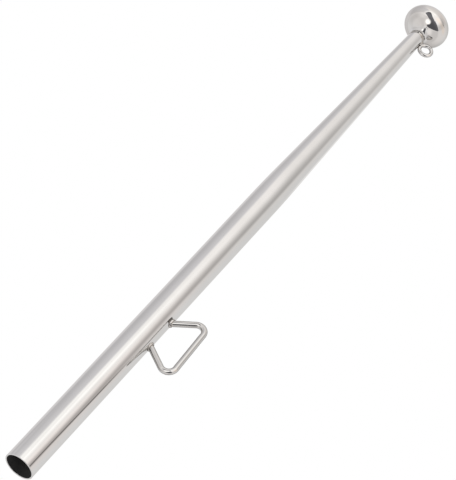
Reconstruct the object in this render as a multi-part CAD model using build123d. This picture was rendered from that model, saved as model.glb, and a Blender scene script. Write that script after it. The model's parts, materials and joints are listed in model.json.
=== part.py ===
from build123d import *
import math
import os

# Boat flag staff in polished stainless steel.  Millimetres.
# Z runs up the staff from the centre of its open lower end.
# The line handle stands on the +X side, and the halyard ring is turned a
# little from it towards +Y.

os.makedirs("parts", exist_ok=True)

# Overall
overall_length = 610.0

# Tube: round and parallel below, drawn down to a long straight taper above
tube_diameter = 25.0
tube_wall = 1.2
straight_length = 343.0
tip_diameter = 13.7
rim_easing = 0.25

# Finial: flattened hollow ball pressed from sheet
finial_diameter = 41.6
finial_height = 31.2
finial_sheet = 1.2

# Neck between tube and finial
neck_flare = 2.0
spigot_clearance = 0.1
tube_spigot_length = 9.0
ball_spigot_diameter = 9.0
ball_spigot_clearance = 0.05
ball_spigot_reach = 2.5

# Handle bent from round rod: two feet on the tube and an outer bar
rod_diameter = 5.0
bend_radius = 6.5
handle_centre = 162.8
feet_spacing = 28.3
bar_length = 63.8
bar_reach = 39.3
bar_lean = 1.37
bar_drop = 0.7

# Halyard ring of round wire, standing on edge and seated on the tube
ring_wire = 3.25
ring_inner_diameter = 8.0
ring_below_top = 39.8
ring_seat_depth = 0.4
ring_turn = 13.0

# Weld beads
foot_bead_width = 1.3
foot_bead_height = 1.6
ring_bead_length = 6.5
ring_bead_width = 4.2
ring_bead_height = 1.8
ring_bead_rise = 3.5

# Values that follow from the above
tube_radius = tube_diameter / 2
bore_radius = tube_radius - tube_wall
tip_radius = tip_diameter / 2
tip_bore = tip_radius - tube_wall
finial_a = finial_diameter / 2
finial_c = finial_height / 2
finial_z = overall_length - finial_c


def ball_underside(x):
    """Height of the ball's underside at radius x, and its outward normal."""
    drop = finial_c * math.sqrt(1 - (x / finial_a) ** 2)
    normal = Vector(x / finial_a**2, 0, -drop / finial_c**2).normalized()
    return finial_z - drop, normal


# The neck's flare is an arc from the tube's end that just reaches the ball
low, high = tip_radius, tip_radius + neck_flare
for _ in range(50):
    touch_x = (low + high) / 2
    touch_z, outward = ball_underside(touch_x)
    if touch_x + outward.X * neck_flare < tip_radius + neck_flare:
        low = touch_x
    else:
        high = touch_x
flare_x = tip_radius + neck_flare
tube_length = touch_z + outward.Z * neck_flare
taper = (tube_radius - tip_radius) / (tube_length - straight_length)


def surface_radius(z):
    """Outer radius of the tube at height z."""
    if z <= straight_length:
        return tube_radius
    return tube_radius - taper * (z - straight_length)


def ellipsoid(a, c, z):
    """Solid flattened ball with its centre at height z."""
    return Pos(0, 0, z) * scale(Sphere(1.0), by=(a, a, c))


def turned(points):
    """Solid of revolution about Z from (radius, height) corners."""
    with BuildPart() as body:
        with BuildSketch(Plane.XZ):
            with BuildLine():
                Polyline(*points, close=True)
            make_face()
        revolve(axis=Axis.Z)
    return body.part


def save(shape, name, shade):
    """Write one named part."""
    shape.label = name
    shape.color = Color(*shade)
    export_step(shape, os.path.join("parts", name + ".step"))


steel = (0.78, 0.78, 0.77)
weld = (0.62, 0.59, 0.56)

# Pole tube
tube = turned(
    [
        (bore_radius + rim_easing, 0),
        (tube_radius - rim_easing, 0),
        (tube_radius, rim_easing),
        (tube_radius, straight_length),
        (tip_radius + taper * rim_easing, tube_length - rim_easing),
        (tip_radius - rim_easing, tube_length),
        (tip_bore, tube_length),
        (bore_radius, straight_length),
        (bore_radius, rim_easing),
    ]
)

# Finial ball with the hole its neck goes into
ball_hole_radius = ball_spigot_diameter / 2 + ball_spigot_clearance
ball = ellipsoid(finial_a, finial_c, finial_z)
ball -= ellipsoid(finial_a - finial_sheet, finial_c - finial_sheet, finial_z)
ball -= Pos(0, 0, finial_z - finial_c) * Cylinder(ball_hole_radius, finial_c)

# Neck: spigot in the tube, flare, spigot in the ball.  The flare's arc stops
# a little short of the ball's slope, so its upper edge isn't a knife edge.
spigot_radius = tip_bore - spigot_clearance
ball_spigot_radius = ball_spigot_diameter / 2
ball_spigot_top = finial_z - finial_c + finial_sheet + ball_spigot_reach
flare_end = math.atan2(-outward.Z, -outward.X) + math.radians(18)


def on_flare(angle):
    """Point of the flare's arc at an angle round the arc's centre."""
    return (
        flare_x + neck_flare * math.cos(angle),
        tube_length + neck_flare * math.sin(angle),
    )


with BuildPart() as flare_body:
    with BuildSketch(Plane.XZ):
        with BuildLine():
            Polyline(
                on_flare(flare_end),
                (on_flare(flare_end)[0], finial_z),
                (0, finial_z),
                (0, tube_length),
                on_flare(math.pi),
            )
            ThreePointArc(
                on_flare(math.pi),
                on_flare((math.pi + flare_end) / 2),
                on_flare(flare_end),
            )
        make_face()
    revolve(axis=Axis.Z)
flare = flare_body.part - ellipsoid(finial_a, finial_c, finial_z)
neck = flare + turned(
    [
        (0, tube_length - tube_spigot_length),
        (spigot_radius - rim_easing, tube_length - tube_spigot_length),
        (spigot_radius, tube_length - tube_spigot_length + rim_easing),
        (spigot_radius, tube_length),
        (0, tube_length),
    ]
)
neck += turned(
    [
        (0, tube_length),
        (ball_spigot_radius, tube_length),
        (ball_spigot_radius, ball_spigot_top),
        (0, ball_spigot_top),
    ]
)

# Handle rod: centre line through the two feet and the two bar ends
bar_top = (bar_reach - bar_lean, handle_centre - bar_drop + bar_length / 2)
bar_bottom = (bar_reach + bar_lean, handle_centre - bar_drop - bar_length / 2)
foot_top = (tube_radius, handle_centre + feet_spacing / 2)
foot_bottom = (tube_radius, handle_centre - feet_spacing / 2)


def run_into_tube(foot, corner, depth):
    """Point beyond the foot, inside the tube wall, on the leg's own line."""
    share = depth / (corner[0] - foot[0])
    return (foot[0] - depth, foot[1] - share * (corner[1] - foot[1]))


start = run_into_tube(foot_top, bar_top, rod_diameter)
finish = run_into_tube(foot_bottom, bar_bottom, rod_diameter)
leg = (bar_top[0] - start[0], bar_top[1] - start[1])
with BuildPart() as handle_body:
    with BuildLine(Plane.XZ):
        FilletPolyline(start, bar_top, bar_bottom, finish, radius=bend_radius)
    leg_plane = Plane(
        origin=(start[0], 0, start[1]),
        x_dir=(0, 1, 0),
        z_dir=(leg[0], 0, leg[1]),
    )
    with BuildSketch(leg_plane):
        Circle(rod_diameter / 2)
    sweep()
tube_core = Pos(0, 0, handle_centre) * Cylinder(tube_radius, 4 * bar_length)
handle = handle_body.part - tube_core


def foot_bead(foot, corner):
    """Mound of weld hugging the tube and the rod at one foot."""
    rise = (corner[1] - foot[1]) / (corner[0] - foot[0])
    half_y = rod_diameter / 2 + foot_bead_width
    half_z = rod_diameter / 2 * math.sqrt(1 + rise**2) + foot_bead_width
    height = foot_bead_height + rod_diameter**2 / 8 / tube_radius
    mound = scale(Sphere(1.0), by=(height, half_y, half_z))
    mound = Pos(tube_radius - height + foot_bead_height, 0, foot[1]) * mound
    return mound - tube_core - handle_body.part


upper_bead = foot_bead(foot_top, bar_top)
lower_bead = foot_bead(foot_bottom, bar_bottom)

# Halyard ring and its weld, in the crevice above the ring
ring_radius = (ring_inner_diameter + ring_wire) / 2
ring_outside = ring_radius + ring_wire / 2
ring_z = overall_length - ring_below_top
ring_x = surface_radius(ring_z) + ring_outside - ring_seat_depth
around = Rot(0, 0, ring_turn)
tube_outside = turned(
    [
        (0, straight_length),
        (tube_radius, straight_length),
        (tip_radius, tube_length),
        (0, tube_length),
    ]
)
ring = around * Pos(ring_x, 0, ring_z) * Rot(90, 0, 0) * Torus(ring_radius, ring_wire / 2)
ring -= tube_outside
bead_z = ring_z + ring_bead_rise
bead_base = surface_radius(bead_z)
ring_bead = scale(
    Sphere(1.0),
    by=(2 * ring_bead_height, ring_bead_width / 2, ring_bead_length / 2),
)
ring_bead = around * Pos(bead_base - ring_bead_height, 0, bead_z) * ring_bead
ring_bead -= tube_outside
ring_bead -= ring

save(tube, "pole_tube", steel)
save(ball, "finial_ball", steel)
save(neck, "finial_neck", steel)
save(handle, "handle_rod", steel)
save(upper_bead, "upper_foot_weld", weld)
save(lower_bead, "lower_foot_weld", weld)
save(ring, "halyard_ring", steel)
save(ring_bead, "ring_weld", weld)
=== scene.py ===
import json
import math

import bpy
import numpy as np
from mathutils import Matrix, Vector


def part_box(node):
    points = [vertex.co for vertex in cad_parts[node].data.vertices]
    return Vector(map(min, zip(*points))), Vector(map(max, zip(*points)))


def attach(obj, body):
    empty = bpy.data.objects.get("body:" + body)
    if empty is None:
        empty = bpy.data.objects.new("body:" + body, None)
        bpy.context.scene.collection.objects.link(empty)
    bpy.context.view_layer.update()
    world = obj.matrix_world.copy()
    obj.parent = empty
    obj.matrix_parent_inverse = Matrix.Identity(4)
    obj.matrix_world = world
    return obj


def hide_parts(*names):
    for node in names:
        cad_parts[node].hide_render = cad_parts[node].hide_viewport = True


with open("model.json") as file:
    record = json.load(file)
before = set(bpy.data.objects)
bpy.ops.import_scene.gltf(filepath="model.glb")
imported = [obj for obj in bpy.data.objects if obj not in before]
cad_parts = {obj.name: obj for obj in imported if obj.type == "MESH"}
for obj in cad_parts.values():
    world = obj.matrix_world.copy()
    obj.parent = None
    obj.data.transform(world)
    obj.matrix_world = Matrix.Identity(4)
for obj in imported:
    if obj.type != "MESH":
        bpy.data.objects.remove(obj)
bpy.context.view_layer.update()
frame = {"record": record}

# A polished stainless flag staff, seen in a white studio tent.  Metres.
# Studio directions are given as a bearing, which is the azimuth counted from FRONT, and an
# elevation, both in degrees.

MM = 0.001
FRONT = -67.5

# ---------------------------------------------------------------- sizes from the frame
# Those that the frame doesn't hold are the CAD's own, stated here again.

_, tube_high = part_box("pole_tube")
_, ball_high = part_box("finial_ball")
rod_low, rod_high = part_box("handle_rod")
mounts = {m["name"]: m for m in frame["record"]["mounts"]}

TUBE_R = tube_high.x
TUBE_TOP = tube_high.z
TIP_R = 6.85 * MM
BORE_R = mounts["tube_bore"]["dims"]["r_mm"] * MM
STRAIGHT = mounts["tube_bore"]["dims"]["length_mm"] * MM
WALL = TUBE_R - BORE_R
TAPER = (TUBE_R - TIP_R) / (TUBE_TOP - STRAIGHT)
BALL_A = ball_high.x
STAFF_TOP = ball_high.z
BALL_C = 15.6 * MM
BALL_Z = STAFF_TOP - BALL_C

ROD_R = (rod_high.y - rod_low.y) / 2
BEND_R = 6.5 * MM
FOOT_TOP = Vector((12.5, 0, 176.95)) * MM
FOOT_BOTTOM = Vector((12.5, 0, 148.65)) * MM
BAR_TOP = Vector((37.93, 0, 194.0)) * MM
BAR_BOTTOM = Vector((40.67, 0, 130.2)) * MM

eye = mounts["halyard_eye"]
RING_AT = Vector(eye["pos_m"])
RING_TURN = math.atan2(RING_AT.y, RING_AT.x)
RING_WIRE_R = eye["dims"]["length_mm"] / 2 * MM
RING_R = eye["dims"]["r_mm"] * MM + RING_WIRE_R


def tube_radius(z):
    """Outside radius of the tube, with the knee of the taper drawn out over a short length."""
    blend = 16 * MM
    past_knee = z - STRAIGHT
    if past_knee <= -blend:
        fall = 0.0
    elif past_knee >= blend:
        fall = past_knee
    else:
        fall = (past_knee + blend) ** 2 / (4 * blend)
    return TUBE_R - TAPER * fall


# ---------------------------------------------------------------- meshes

def add_piece(name, verts, faces, uvs, materials, node, face_slots=None):
    """A smooth mesh piece that stands for a CAD node.  uvs holds one pair for each face corner."""
    mesh = bpy.data.meshes.new(name)
    mesh.from_pydata([tuple(v) for v in verts], [], faces)
    layer = mesh.uv_layers.new(name="along")
    layer.data.foreach_set("uv", np.array(uvs, float).ravel())
    mesh.polygons.foreach_set("use_smooth", [True] * len(mesh.polygons))
    if face_slots is not None:
        mesh.polygons.foreach_set("material_index", face_slots)
    for m in materials:
        mesh.materials.append(m)
    mesh.validate()
    mesh.update()
    piece = bpy.data.objects.new(name, mesh)
    bpy.context.scene.collection.objects.link(piece)
    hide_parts(node)
    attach(piece, "root")
    return piece


def grid_faces(rows, around, closed_rows):
    """Quads of a tube-like grid, and their (around share, row number) corners."""
    faces, corners = [], []
    last = rows if closed_rows else rows - 1
    for i in range(last):
        j = (i + 1) % rows
        for k in range(around):
            n = (k + 1) % around
            faces.append((i * around + k, i * around + n, j * around + n, j * around + k))
            corners.append(((k, i), (k + 1, i), (k + 1, i + 1), (k, i + 1)))
    return faces, corners


def turned(profile, around, closed):
    """Turns (radius, height) points about Z.  The profile's outside is on its right."""
    profile = np.array(profile, float)
    angles = np.linspace(0, 2 * math.pi, around, endpoint=False)
    verts = np.array([(r * math.cos(a), r * math.sin(a), z) for r, z in profile for a in angles])
    run = np.concatenate([[0], np.cumsum(np.hypot(*np.diff(profile, axis=0).T))])
    run = np.append(run, run[-1] + np.hypot(*(profile[0] - profile[-1])))
    faces, corners = grid_faces(len(profile), around, closed)
    uvs = [(k / around, run[i]) for face in corners for k, i in face]
    return verts, faces, uvs


def capped_ball(a, c, z, rows, around):
    """Flattened ball with a single point at each end."""
    verts = [(0, 0, z - c)]
    for i in range(1, rows):
        t = -math.pi / 2 + math.pi * i / rows
        for k in range(around):
            p = 2 * math.pi * k / around
            radius = a * math.cos(t)
            verts.append((radius * math.cos(p), radius * math.sin(p), z + c * math.sin(t)))
    verts.append((0, 0, z + c))
    top = len(verts) - 1
    faces, uvs = [], []
    step = math.pi * (a + c) / 2 / rows

    def at(i, k):
        return 1 + (i - 1) * around + k % around

    for k in range(around):
        faces.append((0, at(1, k + 1), at(1, k)))
        uvs += [((k + 0.5) / around, 0), ((k + 1) / around, step), (k / around, step)]
        for i in range(1, rows - 1):
            faces.append((at(i, k), at(i, k + 1), at(i + 1, k + 1), at(i + 1, k)))
            uvs += [(k / around, i * step), ((k + 1) / around, i * step)]
            uvs += [((k + 1) / around, (i + 1) * step), (k / around, (i + 1) * step)]
        faces.append((at(rows - 1, k), at(rows - 1, k + 1), top))
        uvs += [(k / around, (rows - 1) * step), ((k + 1) / around, (rows - 1) * step)]
        uvs += [((k + 0.5) / around, rows * step)]
    return verts, faces, uvs


def corner_arc(centre, radius, start, end, steps):
    """Points of a rounded corner in a (radius, height) profile.  Angles in degrees."""
    points = []
    for i in range(steps + 1):
        a = math.radians(start + (end - start) * i / steps)
        points.append((centre[0] + radius * math.cos(a), centre[1] + radius * math.sin(a)))
    return points


def rounded_path(points, radius, bend_steps, run_steps):
    """Centre line in the XZ plane through the points, with each inner corner rounded."""
    line = []
    last = points[0]
    for i in range(1, len(points) - 1):
        a, p, b = points[i - 1], points[i], points[i + 1]
        u, v = (a - p).normalized(), (b - p).normalized()
        half = u.angle(v) / 2
        t = radius / math.tan(half)
        start, end = p + u * t, p + v * t
        centre = p + (u + v).normalized() * (radius / math.sin(half))
        line += [last.lerp(start, s / run_steps) for s in range(run_steps)]
        sweep = math.pi - 2 * half
        r0 = start - centre
        sign = 1 if r0.cross(end - centre).y > 0 else -1
        for s in range(bend_steps):
            turn = Matrix.Rotation(sign * sweep * s / bend_steps, 3, "Y")
            line.append(centre + turn @ r0)
        last = end
    line += [last.lerp(points[-1], s / run_steps) for s in range(run_steps + 1)]
    return line


def swept(path, radius, around):
    """Round rod along a path that lies in the XZ plane, closed at both ends."""
    verts, run = [], [0.0]
    side = Vector((0, 1, 0))
    for i, p in enumerate(path):
        a, b = path[max(i - 1, 0)], path[min(i + 1, len(path) - 1)]
        along = (b - a).normalized()
        out = along.cross(side)
        for k in range(around):
            w = 2 * math.pi * k / around
            verts.append(p + radius * (math.cos(w) * side + math.sin(w) * out))
        if i:
            run.append(run[-1] + (p - path[i - 1]).length)
    faces, corners = grid_faces(len(path), around, False)
    uvs = [(k / around, run[i]) for face in corners for k, i in face]
    for row, flip in ((0, True), (len(path) - 1, False)):
        loop = [row * around + k for k in range(around)]
        faces.append(tuple(reversed(loop)) if flip else tuple(loop))
        uvs += [(k / around, run[row]) for k in range(around)]
    return verts, faces, uvs


# ---------------------------------------------------------------- materials

class Graph:
    """Small helper for writing a node tree as expressions."""

    def __init__(self, tree):
        self.tree = tree
        tree.nodes.clear()

    def node(self, kind, **settings):
        n = self.tree.nodes.new(kind)
        for key, value in settings.items():
            setattr(n, key, value)
        return n

    def put(self, socket, value):
        if isinstance(value, bpy.types.NodeSocket):
            self.tree.links.new(value, socket)
        else:
            socket.default_value = value

    def math(self, operation, *values):
        n = self.node("ShaderNodeMath", operation=operation)
        for socket, value in zip(n.inputs, values):
            self.put(socket, value)
        return n.outputs[0]

    def add(self, a, b):
        return self.math("ADD", a, b)

    def sub(self, a, b):
        return self.math("SUBTRACT", a, b)

    def mul(self, a, b):
        return self.math("MULTIPLY", a, b)

    def step(self, x, low, high, first=0.0, last=1.0):
        """Smooth step from first to last while x goes from low to high."""
        n = self.node("ShaderNodeMapRange", interpolation_type="SMOOTHSTEP")
        for socket, value in zip(n.inputs, (x, low, high, first, last)):
            self.put(socket, value)
        return n.outputs[0]

    def mix(self, share, a, b):
        """Number a where share is 0 and b where it is 1."""
        return self.add(a, self.mul(share, self.sub(b, a)))

    def mix_colour(self, share, a, b):
        n = self.node("ShaderNodeMix", data_type="RGBA")
        self.put(n.inputs["Factor"], share)
        self.put(n.inputs[6], a)
        self.put(n.inputs[7], b)
        return n.outputs[2]

    def noise(self, vector, scale, detail=2.0, roughness=0.5):
        n = self.node("ShaderNodeTexNoise")
        self.put(n.inputs["Vector"], vector)
        n.inputs["Scale"].default_value = scale
        n.inputs["Detail"].default_value = detail
        n.inputs["Roughness"].default_value = roughness
        return n.outputs["Fac"]

    def place(self):
        """The point in the piece's own metres."""
        return self.node("ShaderNodeTexCoord").outputs["Object"]

    def seen(self):
        """1 for what the camera looks at itself, and 0 for what the metal mirrors."""
        return self.node("ShaderNodeLightPath").outputs["Is Camera Ray"]

    def vector(self, x, y, z):
        n = self.node("ShaderNodeCombineXYZ")
        for socket, value in zip(n.inputs, (x, y, z)):
            self.put(socket, value)
        return n.outputs[0]

    def parts(self, vector):
        n = self.node("ShaderNodeSeparateXYZ")
        self.put(n.inputs[0], vector)
        return n.outputs

    def bump(self, height, strength, distance, normal=None):
        n = self.node("ShaderNodeBump")
        n.inputs["Strength"].default_value = strength
        n.inputs["Distance"].default_value = distance
        self.put(n.inputs["Height"], height)
        if normal is not None:
            self.put(n.inputs["Normal"], normal)
        return n.outputs[0]

    def join(self, kind, a, b):
        """Adds two shaders, or mixes them with b's share in Fac."""
        both = self.node(kind)
        self.tree.links.new(a.outputs[0], both.inputs[-2])
        self.tree.links.new(b.outputs[0], both.inputs[-1])
        return both

    def surface(self, shader, kind="ShaderNodeOutputMaterial"):
        out = self.node(kind)
        self.tree.links.new(shader.outputs[0], out.inputs["Surface"])


def blank_material(name):
    """New material, and the graph of its empty node tree."""
    mat = bpy.data.materials.new(name)
    mat.use_nodes = True
    return mat, Graph(mat.node_tree)


def along_and_around(g, around, along):
    """Seamless noise vector from the piece's map: cells per turn and per metre of length."""
    u, v, _ = g.parts(g.node("ShaderNodeUVMap", uv_map="along").outputs[0])
    turn = g.mul(u, 2 * math.pi)
    reach = around / (2 * math.pi)
    x = g.mul(g.math("COSINE", turn), reach)
    y = g.mul(g.math("SINE", turn), reach)
    return g.vector(x, y, g.mul(v, along))


def polished_steel(name, radius, marks=(), edge=1.0, tone=(1.0, 1.0, 1.0)):
    """Mirror-polished stainless.  radius sets the size of its waviness.
    marks are heat tints or painted shade, each (point, reach, share, colour), and tone tints the
    whole.
    An edge below 1 darkens the reflection where the surface turns from view: painted shade along
    the outlines.
    """
    mat, g = blank_material(name)
    place = g.place()

    lines = g.noise(along_and_around(g, 5.0, 3200.0), 1.0, 3.0, 0.6)
    broad = g.noise(along_and_around(g, 3.0, 90.0), 1.0, 2.0, 0.5)
    cloud = g.noise(place, 46.0, 3.0, 0.55)

    dull = [c * k for c, k in zip((0.62, 0.612, 0.60), tone)] + [1]
    clean = [c * k for c, k in zip((0.64, 0.632, 0.622), tone)] + [1]
    colour = g.mix_colour(g.step(cloud, 0.3, 0.7), dull, clean)
    for point, reach, share, tint in marks:
        away = g.node("ShaderNodeVectorMath", operation="DISTANCE")
        g.put(away.inputs[0], place)
        away.inputs[1].default_value = point
        ragged = g.add(away.outputs["Value"], g.mul(g.sub(cloud, 0.5), 3 * MM))
        near = g.step(ragged, reach * 0.4, reach, 1.0, 0.0)
        colour = g.mix_colour(g.mul(near, share), colour, tint)

    rough = g.add(0.03, g.mul(g.step(lines, 0.35, 0.75), 0.03))
    rough = g.add(rough, g.mul(g.step(broad, 0.45, 0.8), 0.025))
    rough = g.add(rough, g.mul(g.step(cloud, 0.55, 0.8), 0.02))

    # Faint waves 9 mm wide and 30 mm long, and the finest polishing lines
    waves_per_turn = 2 * math.pi * radius / (9 * MM)
    waves = g.noise(along_and_around(g, waves_per_turn, 1 / (30 * MM)), 1.0, 1.0, 0.4)
    normal = g.bump(waves, 1.0, 0.012 * MM)
    normal = g.bump(lines, 0.5, 0.0006 * MM, normal)

    shader = g.node("ShaderNodeBsdfPrincipled")
    shader.inputs["Metallic"].default_value = 1.0
    # Edge tint below 1: painted shade where the surface turns from view
    shader.inputs["Specular Tint"].default_value = (edge, edge * 0.985, edge * 0.965, 1)
    g.put(shader.inputs["Base Color"], colour)
    g.put(shader.inputs["Roughness"], rough)
    g.put(shader.inputs["Normal"], normal)
    g.surface(shader)
    return mat


def bore_scale_and_shade(name):
    """Dull unpolished inside of the tube. Its dark colour is partly the dull finish and partly
    painted shade in the bore, with the painted shade deepest just inside the rim.
    """
    mat, g = blank_material(name)
    place = g.place()
    z = g.parts(place)[2]
    cloud = g.noise(place, 260.0, 4.0, 0.6)
    streak = g.noise(along_and_around(g, 60.0, 12.0), 1.0, 2.0, 0.5)
    # Painted shade, deepest just inside the rim and lighter further in
    depth = g.step(z, 0.4 * MM, 9 * MM)
    dark = g.mix_colour(depth, (0.048, 0.048, 0.049, 1), (0.095, 0.093, 0.091, 1))
    mottled = g.mix_colour(g.step(cloud, 0.2, 0.85), dark, (0.08, 0.078, 0.076, 1))
    colour = g.mix_colour(g.mul(g.step(streak, 0.4, 0.7), 0.4), dark, mottled)
    shader = g.node("ShaderNodeBsdfPrincipled")
    shader.inputs["Specular IOR Level"].default_value = 0.1
    g.put(shader.inputs["Base Color"], colour)
    g.put(shader.inputs["Roughness"], g.add(0.6, g.mul(cloud, 0.3)))
    g.put(shader.inputs["Normal"], g.bump(g.add(cloud, streak), 0.25, 0.02 * MM))
    g.surface(shader)
    return mat


def weld_metal(name):
    """Brushed weld bead, with heat colours caught in its hollows."""
    mat, g = blank_material(name)
    place = g.place()
    cloud = g.noise(place, 420.0, 3.0, 0.55)
    grain = g.noise(place, 5200.0, 2.0, 0.6)
    straw = g.mix_colour(g.step(cloud, 0.42, 0.66), (0.59, 0.575, 0.56, 1), (0.48, 0.44, 0.40, 1))
    colour = g.mix_colour(g.step(cloud, 0.58, 0.75, 0.0, 0.7), straw, (0.27, 0.25, 0.25, 1))
    shader = g.node("ShaderNodeBsdfPrincipled")
    shader.inputs["Metallic"].default_value = 1.0
    g.put(shader.inputs["Base Color"], colour)
    shader.inputs["Specular Tint"].default_value = (0.2, 0.19, 0.18, 1)
    g.put(shader.inputs["Roughness"], g.add(0.08, g.mul(g.step(grain, 0.3, 0.8), 0.12)))
    g.put(shader.inputs["Normal"], g.bump(g.add(g.mul(cloud, 2.0), grain), 0.5, 0.03 * MM))
    g.surface(shader)
    return mat


def groove_painted_shade(name):
    """Dark brown painted shade in the fine groove between the tube and the neck."""
    mat, g = blank_material(name)
    cloud = g.noise(g.place(), 900.0, 3.0, 0.6)
    shader = g.node("ShaderNodeBsdfPrincipled")
    shader.inputs["Metallic"].default_value = 0.6
    colour = g.mix_colour(g.step(cloud, 0.3, 0.7), (0.05, 0.043, 0.038, 1), (0.13, 0.114, 0.10, 1))
    g.put(shader.inputs["Base Color"], colour)
    g.put(shader.inputs["Roughness"], g.add(0.4, g.mul(cloud, 0.3)))
    g.put(shader.inputs["Normal"], g.bump(cloud, 0.5, 0.02 * MM))
    g.surface(shader)
    return mat


HEAT = (0.50, 0.42, 0.34, 1)
# Near black: painted contact shade where the ring meets the tube
CONTACT_SHADE = (0.06, 0.052, 0.046, 1)
ring_side = Vector((math.cos(RING_TURN), math.sin(RING_TURN), 0))
ring_foot = ring_side * tube_radius(RING_AT.z) + Vector((0, 0, RING_AT.z))


def foot_heat(reach):
    """Heat tints round the handle's two feet."""
    return [(FOOT_TOP, reach, 0.3, HEAT), (FOOT_BOTTOM, reach, 0.3, HEAT)]


def ring_contact_shade(reach):
    """Painted shade round the ring's foot, where it meets the tube."""
    return [(ring_foot, reach, 0.85, CONTACT_SHADE)]


# Heat tints round the handle's feet, and painted shade round the ring's foot
marks = foot_heat(5 * MM) + ring_contact_shade(2.4 * MM)
tube_steel = polished_steel("tube_steel", TUBE_R, marks, edge=0.92)
ball_steel = polished_steel("ball_steel", BALL_A, edge=0.76, tone=(1.008, 0.993, 0.978))
neck_steel = polished_steel("neck_steel", TIP_R)
marks = foot_heat(4 * MM)
# The rod and the ring get the strongest painted shade along their outlines
rod_steel = polished_steel("rod_steel", ROD_R, marks, edge=0.2, tone=(0.90, 0.893, 0.882))
# Painted shade round the ring's foot, on the ring's wire too
marks = ring_contact_shade(2.2 * MM)
ring_steel = polished_steel("ring_steel", RING_WIRE_R, marks, edge=0.0, tone=(0.99, 0.988, 0.986))
bore_painted_shade = bore_scale_and_shade("bore_painted_shade")
bead_metal = weld_metal("bead_metal")
groove_shade = groove_painted_shade("groove_painted_shade")

# ---------------------------------------------------------------- tube

# Rows of points: close at both ends and over the taper's knee, wide apart between
RIM = 0.25 * MM
RIM_STEPS = 5
end_rows = [0, 0.2 * MM, 0.6 * MM, 2 * MM]
heights = [RIM + d for d in end_rows]
heights += [6 * MM + (STRAIGHT - 26 * MM) * i / 13 for i in range(14)]
heights += [STRAIGHT + (i - 9) * 2 * MM for i in range(19)]
heights += [STRAIGHT + 22 * MM + (TUBE_TOP - 28 * MM - STRAIGHT) * i / 12 for i in range(13)]
heights += [TUBE_TOP - RIM - d for d in reversed(end_rows)]
outside = [(tube_radius(z), z) for z in heights]
profile = corner_arc((TUBE_R - RIM, RIM), RIM, -90, 0, RIM_STEPS)[:-1] + outside
tip = tube_radius(TUBE_TOP)
profile += corner_arc((tip - RIM, TUBE_TOP - RIM), RIM, 0, 90, RIM_STEPS)[1:]
outer_rows = len(profile)
profile += [(tip - WALL, TUBE_TOP)]
profile += [(tube_radius(z) - WALL, z) for z in reversed(heights[1:-1])]
profile += corner_arc((BORE_R + RIM, RIM), RIM, 180, 270, RIM_STEPS)
AROUND = 192
verts, faces, uvs = turned(profile, AROUND, True)
# The bore's dark material, with its painted shade, reaches as far as the eased rim
bore = range(outer_rows, len(profile) - RIM_STEPS - 1)
slots = [1 if f // AROUND in bore else 0 for f in range(len(faces))]
metals = [tube_steel, bore_painted_shade]
add_piece("staff_tube", verts, faces, uvs, metals, "pole_tube", slots)

# ---------------------------------------------------------------- ball and neck

verts, faces, uvs = capped_ball(BALL_A, BALL_C, BALL_Z, rows=112, around=192)
add_piece("staff_ball", verts, faces, uvs, [ball_steel], "finial_ball")

# The neck rises from a fine groove at the tube's end and runs out into the ball's underside.
# It is a weld ground smooth by hand, and reaches furthest on the side that faces bearing 0.
# The shape's points are the way out from the tube and the stand-off from the ball, in millimetres.
GROOVE = 0.3 * MM
NECK_REACH = 6.14
NECK_SHAPE = [
    (0, 1.30),
    (1.45, 1.27),
    (1.95, 1.14),
    (2.55, 0.80),
    (3.15, 0.54),
    (3.85, 0.32),
    (4.75, 0.13),
    (6.15, 0),
]


def underside(radius):
    """Height of the ball's lower half at a radius."""
    return BALL_Z - BALL_C * math.sqrt(1 - (radius / BALL_A) ** 2)


def stand_off(out):
    """How far the neck stands below the ball's underside, as a smooth curve through its shape."""
    last = len(NECK_SHAPE) - 1
    k = max(i for i in range(last) if NECK_SHAPE[i][0] <= out)

    def slope(i):
        before, after = NECK_SHAPE[max(i - 1, 0)], NECK_SHAPE[min(i + 1, last)]
        return (after[1] - before[1]) / (after[0] - before[0])

    (x0, y0), (x1, y1) = NECK_SHAPE[k], NECK_SHAPE[k + 1]
    w = x1 - x0
    s = (out - x0) / w
    y = (2 * s**3 - 3 * s**2 + 1) * y0 + (s**3 - 2 * s**2 + s) * w * slope(k)
    return y + (3 * s**2 - 2 * s**3) * y1 + (s**3 - s**2) * w * slope(k + 1)


def neck_reach(angle):
    """Share of the full reach at an angle about the staff."""
    bearing = (math.degrees(angle) - FRONT + 180) % 360 - 180
    return 0.42 + 0.58 * math.exp(-((bearing / 25) ** 2))


AROUND = 240
STEPS = 48
# From inside the tube out through the groove, over the weld and up inside the ball
profile = [(TIP_R - WALL, TUBE_TOP - 3 * MM), (TIP_R - WALL, TUBE_TOP), (TIP_R - GROOVE, TUBE_TOP)]
profile += [(TIP_R - GROOVE, TUBE_TOP + 0.1 * MM)]
first = len(profile)
profile += [(TIP_R + NECK_REACH * MM * i / STEPS, TUBE_TOP + 0.2 * MM) for i in range(STEPS + 1)]
profile += [(TIP_R - 2 * MM, BALL_Z - BALL_C + 1.5 * MM)]
verts, faces, uvs = turned(profile, AROUND, True)
for i in range(STEPS + 1):
    out = NECK_REACH * i / STEPS
    # The last row runs into the ball
    tuck = 0.1 * MM if i == STEPS else 0
    for k in range(AROUND):
        a = 2 * math.pi * k / AROUND
        radius = TIP_R + out * MM * neck_reach(a)
        height = underside(radius) - stand_off(out) * MM + tuck
        verts[(first + i) * AROUND + k] = (radius * math.cos(a), radius * math.sin(a), height)
# Painted shade in the three strips of the groove
slots = [1 if f // AROUND in (1, 2, 3) else 0 for f in range(len(faces))]
metals = [neck_steel, groove_shade]
add_piece("staff_neck", verts, faces, uvs, metals, "finial_neck", slots)

# ---------------------------------------------------------------- handle and ring

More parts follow.
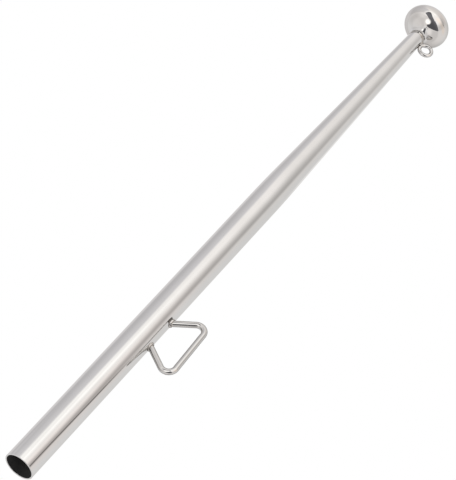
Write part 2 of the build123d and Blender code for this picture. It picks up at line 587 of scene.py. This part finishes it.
# The rod's ends run this far into the tube's wall
SINK = 1.0 * MM
start = FOOT_TOP - (BAR_TOP - FOOT_TOP).normalized() * SINK
finish = FOOT_BOTTOM - (BAR_BOTTOM - FOOT_BOTTOM).normalized() * SINK
path = rounded_path([start, BAR_TOP, BAR_BOTTOM, finish], BEND_R, bend_steps=28, run_steps=10)
verts, faces, uvs = swept(path, ROD_R, around=64)
add_piece("line_handle", verts, faces, uvs, [rod_steel], "handle_rod")


def ring_of_wire(at, turn, radius, wire, steps, around):
    """Ring on edge, in an upright plane turned about the staff."""
    spin = Matrix.Rotation(turn, 3, "Z")
    verts = []
    for i in range(steps):
        a = 2 * math.pi * i / steps
        out = Vector((math.cos(a), 0, math.sin(a)))
        for k in range(around):
            w = 2 * math.pi * k / around
            side = Vector((0, wire * math.sin(w), 0))
            verts.append(at + spin @ (out * (radius + wire * math.cos(w)) + side))
    faces, corners = grid_faces(steps, around, True)
    uvs = [(k / around, i * 2 * math.pi * radius / steps) for face in corners for k, i in face]
    return verts, faces, uvs


verts, faces, uvs = ring_of_wire(RING_AT, RING_TURN, RING_R, RING_WIRE_R, steps=112, around=48)
add_piece("line_ring", verts, faces, uvs, [ring_steel], "halyard_ring")

# ---------------------------------------------------------------- weld beads

def foot_bead(foot, corner, width, height, ripples, phase):
    """Rippled bead that runs round the rod where it meets the tube."""
    along = (corner - foot).normalized()
    side = Vector((0, 1, 0))
    other = along.cross(side)
    around, rows = 180, 12
    verts = []
    for k in range(around):
        t = 2 * math.pi * k / around
        spoke = math.cos(t) * side + math.sin(t) * other
        base = foot + spoke * ROD_R
        # Walked along the rod to the tube's surface
        for _ in range(6):
            gap = math.hypot(base.x, base.y) - TUBE_R
            base = base - along * (gap / max(along.x, 0.2))
        swell = 1 + 0.07 * math.sin(2 * t + phase) + 0.05 * math.sin(3 * t + 2 * phase)
        for i in range(rows + 1):
            # From just inside the tube, over the crown, to just inside the rod
            q = math.radians(-12 + 112 * i / rows)
            # Each ripple is a curved scale, so its crest lags in the middle of the bead
            crest = 0.5 + 0.5 * math.cos(ripples * t + phase + 1.1 * math.sin(2 * q))
            grow = swell * (0.9 + 0.12 * crest ** 0.6 * max(math.sin(2 * q), 0))
            w, h = width * grow * math.cos(q), height * grow * math.sin(q)
            p = base + spoke * w
            if i < rows // 2:
                r = math.hypot(p.x, p.y)
                p = Vector((p.x * TUBE_R / r, p.y * TUBE_R / r, p.z))
            verts.append(p + along * h - spoke * (0.1 * MM if i == rows else 0))
    faces, corners = [], []
    n = rows + 1
    for k in range(around):
        m = (k + 1) % around
        for i in range(n):
            # The last strip closes the bead below, inside the tube and the rod
            j = (i + 1) % n
            faces.append((k * n + i, m * n + i, m * n + j, k * n + j))
            corners.append(((k, i), (k + 1, i), (k + 1, i + 1), (k, i + 1)))
    uvs = [(k / around, i * 0.2 * MM) for face in corners for k, i in face]
    return verts, faces, uvs


# Each bead is as the CAD's and a little smaller
BEAD_W, BEAD_H = 1.25 * MM, 1.5 * MM
verts, faces, uvs = foot_bead(FOOT_TOP, BAR_TOP, BEAD_W, BEAD_H, ripples=17, phase=0.4)
add_piece("upper_bead", verts, faces, uvs, [bead_metal], "upper_foot_weld")
verts, faces, uvs = foot_bead(FOOT_BOTTOM, BAR_BOTTOM, BEAD_W, BEAD_H, ripples=18, phase=1.9)
add_piece("lower_bead", verts, faces, uvs, [bead_metal], "lower_foot_weld")


def side_bead(turn, z, length, width, height, ripples):
    """Mound of weld lying up the side of the taper, with its ripples across it."""
    spin = Matrix.Rotation(turn, 3, "Z")
    rows, steps = 26, 96
    verts = [spin @ Vector((tube_radius(z) + height, 0, z))]
    for i in range(1, rows + 1):
        # From the crown down to just inside the tube
        q = math.radians(100 * i / rows)
        for k in range(steps):
            t = 2 * math.pi * k / steps
            along = math.sin(t) * length / 2 * math.sin(q)
            ripple = 2 * math.pi * ripples * along / length
            crest = 0.5 + 0.5 * math.cos(ripple + 0.9 * math.cos(t) ** 2)
            grow = 1 - 0.16 * crest * math.sin(q) - 0.04 * math.sin(3 * t)
            rise = height * math.cos(q) * (0.9 + 0.1 * crest)
            side = math.cos(t) * width / 2 * math.sin(q) * grow
            foot = tube_radius(z + along)
            out = math.sqrt(max(foot * foot - side * side, 0)) + max(rise, -0.2 * MM)
            verts.append(spin @ Vector((out, side, z + along)))
    verts.append(spin @ Vector((tube_radius(z) - 0.3 * MM, 0, z)))
    a_last = 1 + (rows - 1) * steps
    faces, corners = [], []
    for k in range(steps):
        m = (k + 1) % steps
        faces.append((0, 1 + k, 1 + m))
        corners.append(((k, 0), (k, 1), (k + 1, 1)))
        for i in range(rows - 1):
            a, b = 1 + i * steps, 1 + (i + 1) * steps
            faces.append((a + k, b + k, b + m, a + m))
            corners.append(((k, i + 1), (k, i + 2), (k + 1, i + 2), (k + 1, i + 1)))
        # Closed below, inside the tube
        faces.append((len(verts) - 1, a_last + m, a_last + k))
        corners.append(((k, rows), (k + 1, rows), (k, rows)))
    uvs = [(k / steps, i * 0.15 * MM) for face in corners for k, i in face]
    return verts, faces, uvs


RING_BEAD_Z = RING_AT.z + 3.5 * MM
verts, faces, uvs = side_bead(
    RING_TURN, RING_BEAD_Z, length=6.4 * MM, width=4.0 * MM, height=1.75 * MM, ripples=4
)
add_piece("ring_bead", verts, faces, uvs, [bead_metal], "ring_weld")

# ---------------------------------------------------------------- studio

def direction(bearing, elevation):
    """Unit vector towards a bearing and elevation."""
    a, e = math.radians(FRONT + bearing), math.radians(elevation)
    return Vector((math.cos(a) * math.cos(e), math.sin(a) * math.cos(e), math.sin(e)))


TENT_POWER = 1.25


def studio():
    """White tent round the staff: one soft box, grey side walls and a dark gap in front.
    Every step and band goes by degrees of bearing or elevation, and light is a share of the
    tent's power.
    """
    world = bpy.data.worlds.new("tent")
    world.use_nodes = True
    bpy.context.scene.world = world
    g = Graph(world.node_tree)
    ray = g.node("ShaderNodeTexCoord").outputs["Generated"]
    x, y, z = g.parts(ray)
    elevation = g.mul(g.math("ARCSINE", z), 180 / math.pi)
    # Turned so that 0 faces the gap and the jump at 180 is behind the staff
    front = math.radians(FRONT)
    fx = g.add(g.mul(x, math.cos(front)), g.mul(y, math.sin(front)))
    fy = g.sub(g.mul(y, math.cos(front)), g.mul(x, math.sin(front)))
    bearing = g.mul(g.math("ARCTAN2", fy, fx), 180 / math.pi)

    def band(value, low, high, soft_low, soft_high):
        """1 between low and high, and 0 beyond them, each edge as soft as it says."""
        return g.mul(
            g.step(value, low - soft_low, low + soft_low),
            g.step(value, high - soft_high, high + soft_high, 1.0, 0.0),
        )

    # Right wall and the white cloth overhead
    light = g.step(elevation, 22, 44, 0.80, 0.755)
    light = g.mix(g.step(bearing, 112, 160), light, 0.73)
    dusk = g.mul(g.step(bearing, 100, 175, 0.0, 0.22), band(elevation, -48, 22, 8, 8))
    light = g.sub(light, dusk)
    light = g.mix(g.step(elevation, 46, 60), light, 0.71)
    light = g.mix(g.step(elevation, 58, 80), light, 0.89)
    shade = g.mul(band(bearing, 60, 130, 8, 15), band(elevation, -56, -26, 5, 6))
    light = g.sub(light, g.mul(shade, 0.13))
    low_cloth = g.mul(band(bearing, 45, 105, 8, 8), g.step(elevation, -66, -58, 1.0, 0.0))
    light = g.mix(low_cloth, light, 0.92)
    rim_light = g.mul(g.step(bearing, 116, 140), band(elevation, 38, 42.5, 1.5, 1.5))
    light = g.add(light, g.mul(rim_light, 0.18))

    # Left wall, darkest beside the staff and paler again behind it
    def left_wall(at):
        """Its light at a bearing."""
        far = g.step(elevation, 35, 43, 0.75, 0.68)
        wall = g.step(at, -104, -46, 0.575, 0.72)
        wall = g.mix(g.step(at, -134, -110, 1.0, 0.0), wall, far)
        wall = g.mix(g.step(elevation, 34, 45), wall, g.add(wall, 0.045))
        hem = g.mul(band(elevation, -15, 5, 4, 2), 0.05)
        skirt = g.add(g.step(at, -90, -50, 0.64, 0.87), hem)
        wall = g.mix(g.step(elevation, -4, 1, 1.0, 0.0), wall, skirt)
        ground = g.step(at, -96, -60, 0.77, 0.71)
        wall = g.mix(g.step(elevation, -46, -26, 1.0, 0.0), wall, ground)
        glow = g.mul(g.step(at, -148, -114, 1.0, 0.0), band(elevation, -34, -12, 6, 5))
        wall = g.add(wall, g.mul(glow, 0.13))
        return g.mix(g.step(elevation, 50, 66), wall, 0.83)

    wall = left_wall(bearing)
    seam = g.step(bearing, 150, 180)

    # Soft box: a curved sheet lit from its left, falling to a dark fold on its right
    crossbar = g.mul(band(elevation, 25, 30, 2.5, 2), 0.07)
    power = g.sub(g.step(elevation, 30, 52, 1.10, 0.84), crossbar)
    hot = g.mul(band(bearing, -20, -3, 9, 10), g.step(elevation, 29, 36, 0.24, 0.0))
    power = g.add(power, g.mul(hot, g.step(elevation, 16, 27)))
    low_left = g.mul(band(bearing, -38, -24, 4, 5), g.step(elevation, 29.5, 31.5, 1.0, 0.0))
    power = g.add(power, g.mul(low_left, 0.12))
    dim = g.mul(band(bearing, -6, 18, 5, 5), band(elevation, 29.3, 32.3, 0.8, 1))
    power = g.sub(power, g.mul(dim, 0.065))
    bright_foot = g.mul(band(bearing, -24, -8, 4, 4), band(elevation, -4, 14, 4, 4))
    power = g.add(power, g.mul(bright_foot, 0.15))
    fold = g.add(g.step(elevation, 22, 28, 0.66, 0.49), g.step(elevation, 39, 47, 0.0, 0.15))
    fall = g.add(g.step(elevation, 28, 36, 16, -13), g.step(elevation, 18, 27, 8, 0))
    fall = g.sub(fall, g.step(elevation, 36, 42, 0, 12))
    sheet = g.mix(g.step(bearing, fall, 48), power, fold)
    sheet = g.mix(g.step(elevation, 50, 72), sheet, g.add(g.mul(sheet, 0.3), 0.55))
    left_edge = g.add(g.step(elevation, 30, 54, -39, -80), g.step(elevation, 27, 32, -4, 0))
    left_edge = g.sub(left_edge, g.mul(band(elevation, -8, 18, 5, 6), 6))
    left_soft = g.step(elevation, 30, 46, 9.5, 15)
    left_share = g.step(g.sub(bearing, left_edge), g.mul(left_soft, -1), left_soft)
    line = g.step(elevation, 26.8, 31.5, 51, 67)
    past = g.sub(bearing, line)
    lower_edge = g.step(past, 3, g.step(elevation, 26.5, 30, 19, 9))
    upper_edge = g.step(bearing, 46, g.step(elevation, 40, 60, 70, 110))
    right_share = g.mix(g.step(elevation, 29.5, 32), lower_edge, upper_edge)
    sheet = g.mix(right_share, sheet, light)
    middle = g.mix(g.step(elevation, -24, -14), light, sheet)
    stripe = g.mul(band(bearing, -110, -90, 5, 5), band(elevation, 25, 28, 1, 1.2))
    wall = g.add(wall, g.mul(stripe, 0.09))
    light = g.mix(left_share, wall, middle)
    light = g.mix(seam, light, left_wall(-180.0))
    # Dark crease where the soft box meets the right wall
    crease = g.mul(band(past, -3, 5, 2, 5), band(elevation, 24, 30.6, 1.5, 1.0))
    light = g.mix(crease, light, 0.17)

    # The gap where the camera looks in, between great circles through its corners
    def patch(corners, soft):
        """1 inside the convex corners, which run one way round."""
        share = 1.0
        for a, b in zip(corners, corners[1:] + corners[:1]):
            plane = direction(*a).cross(direction(*b)).normalized()
            dot = g.node("ShaderNodeVectorMath", operation="DOT_PRODUCT")
            g.put(dot.inputs[0], ray)
            dot.inputs[1].default_value = -plane
            share = g.mul(share, g.step(dot.outputs["Value"], -soft, soft))
        return share

    gap_upper = [(-47, -3), (-37, 19), (-26, 22), (-9, -3), (3, -18.5), (5, -40.8)]
    gap_middle = [(-20, -20), (-9, -3), (11, -16), (28, -27), (40, -56), (0, -55)]
    gap_lower = [(12, -13.7), (61, -22.3), (64, -27), (57, -45), (25, -69.5), (-6, -71), (-8, -60)]
    gap = patch(gap_upper, 0.012)
    gap = g.math("MAXIMUM", gap, patch(gap_middle, 0.013))
    gap = g.math("MAXIMUM", gap, patch(gap_lower, 0.012))
    depth = g.mix(g.step(elevation, -2, 14), g.step(elevation, -44, -8, 0.095, 0.19), 0.13)
    light = g.mix(gap, light, depth)

    # Faint colours of the fields
    share = g.step(bearing, -12, 34)
    tinted = g.mix_colour(share, (1.008, 0.997, 0.979, 1), (1.045, 0.980, 0.950, 1))
    tinted = g.mix_colour(g.step(elevation, 30, 37), tinted, (1.018, 0.990, 0.970, 1))
    tinted = g.mix_colour(g.step(bearing, 50, 118), tinted, (0.998, 1.0, 1.006, 1))
    share = g.mul(left_share, g.sub(1.0, seam))
    tinted = g.mix_colour(share, (1.008, 0.995, 1.02, 1), tinted)
    share = g.mul(g.step(bearing, -160, -95), g.sub(1.0, seam))
    low = g.mix_colour(share, (0.998, 1.0, 1.015, 1), (1.016, 0.994, 0.988, 1))
    tinted = g.mix_colour(g.step(elevation, -10, 22, 1.0, 0.0), tinted, low)
    belt = g.mul(g.step(elevation, -6, 8), g.step(elevation, 14, 27, 1.0, 0.0))
    amber = g.mul(band(bearing, 8, 84, 10, 10), belt)
    tinted = g.mix_colour(amber, tinted, (1.075, 0.977, 0.90, 1))
    warm_top = g.mul(band(bearing, 0, 70, 10, 15), g.step(elevation, 46, 52))
    tinted = g.mix_colour(warm_top, tinted, (1.05, 0.985, 0.955, 1))
    tinted = g.mix_colour(gap, tinted, (0.985, 0.99, 1.085, 1))
    tint = g.node("ShaderNodeVectorMath", operation="SCALE")
    g.put(tint.inputs[0], tinted)
    g.put(tint.inputs["Scale"], light)
    tent = g.node("ShaderNodeBackground")
    g.put(tent.inputs["Color"], tint.outputs[0])
    tent.inputs["Strength"].default_value = TENT_POWER
    white = g.node("ShaderNodeBackground")
    white.inputs["Color"].default_value = (1, 1, 1, 1)
    both = g.join("ShaderNodeMixShader", tent, white)
    g.put(both.inputs["Fac"], g.seen())
    g.surface(both, "ShaderNodeOutputWorld")
    world.cycles.sampling_method = "MANUAL"
    world.cycles.sample_map_resolution = 1024


studio()


def stage_sheet(name, corners, material):
    """Flat four-cornered sheet of the studio."""
    mesh = bpy.data.meshes.new(name)
    mesh.from_pydata([tuple(c) for c in corners], [], [(0, 1, 2, 3)])
    mesh.materials.append(material)
    mesh.update()
    sheet = bpy.data.objects.new(name, mesh)
    bpy.context.scene.collection.objects.link(sheet)
    return sheet


def pale_floor():
    """Matt white floor.  It lights itself for the camera, so it stays white, and takes a shadow."""
    mat, g = blank_material("pale_floor")
    cloud = g.noise(g.place(), 3.0, 3.0, 0.5)
    dark, pale = (0.186, 0.186, 0.186, 1), (0.192, 0.192, 0.192, 1)
    matt = g.node("ShaderNodeBsdfDiffuse")
    g.put(matt.inputs["Color"], g.mix_colour(g.step(cloud, 0.3, 0.7), dark, pale))
    glow = g.node("ShaderNodeEmission")
    g.put(glow.inputs["Strength"], g.mul(g.seen(), 0.83))
    g.surface(g.join("ShaderNodeAddShader", matt, glow))
    return mat


# Half the width and height of the oval
LAMP_W, LAMP_H = 0.21, 0.40


def lamp_cloth():
    """Soft oval lamp low in front of the staff, seen only in the metal."""
    mat, g = blank_material("lamp_cloth")
    across, up, _ = g.parts(g.place())
    wide = g.math("POWER", g.mul(across, 1 / LAMP_W), 2.0)
    tall = g.math("POWER", g.mul(up, 1 / LAMP_H), 2.0)
    reach = g.math("SQRT", g.add(wide, tall))
    glow = g.node("ShaderNodeEmission")
    glow.inputs["Color"].default_value = (1, 0.99, 0.98, 1)
    glow.inputs["Strength"].default_value = 1.75
    clear = g.node("ShaderNodeBsdfTransparent")
    both = g.join("ShaderNodeMixShader", clear, glow)
    g.put(both.inputs["Fac"], g.step(reach, 0.6, 1.2, 1.0, 0.0))
    g.surface(both)
    return mat


# The floor lies well below the staff, which the camera looks up at, and the metal doesn't mirror it
FLOOR_Z = -2.9
FLOOR_HALF = 25
square = [(-1, -1), (1, -1), (1, 1), (-1, 1)]
corners = [(x * FLOOR_HALF, y * FLOOR_HALF, FLOOR_Z) for x, y in square]
floor = stage_sheet("floor", corners, pale_floor())
floor.visible_glossy = False
floor.visible_diffuse = False

# The lamp's sheet is wider than its oval, and faces the staff
SHEET_W, SHEET_H = 0.29, 0.49
LAMP_BEARING = -14.5
LAMP_AWAY = 0.6
LAMP_Z = -0.16
corners = [(x * SHEET_W, y * SHEET_H, 0) for x, y in square]
lamp = stage_sheet("lamp", corners, lamp_cloth())
toward = direction(LAMP_BEARING, 0)
upright = Vector((0, 0, 1))
facing = Matrix((toward.cross(upright), upright, -toward)).transposed()
place = Matrix.Translation(toward * LAMP_AWAY + upright * LAMP_Z)
lamp.matrix_world = place @ facing.to_4x4()
lamp.visible_camera = False
lamp.visible_shadow = False
lamp.visible_diffuse = False

# ---------------------------------------------------------------- camera

CAMERA_AT = Vector((0.51897, -1.25291, -0.68356))
FOCAL_LENGTH = 154.65

camera_data = bpy.data.cameras.new("camera")
camera_data.lens = FOCAL_LENGTH
camera_data.sensor_width = 36
camera_data.clip_start = 0.05
camera_data.clip_end = 60
camera = bpy.data.objects.new("camera", camera_data)
bpy.context.scene.collection.objects.link(camera)
bpy.context.scene.camera = camera
right = Vector((0.82790, -0.08140, 0.55494))
forward = Vector((-0.31279, 0.75427, 0.57727)).normalized()
up = right.cross(forward).normalized()
right = forward.cross(up)
rows = Matrix((right, up, -forward)).transposed()
camera.matrix_world = Matrix.Translation(CAMERA_AT) @ rows.to_4x4()

scene = bpy.context.scene
scene.view_settings.view_transform = "Standard"
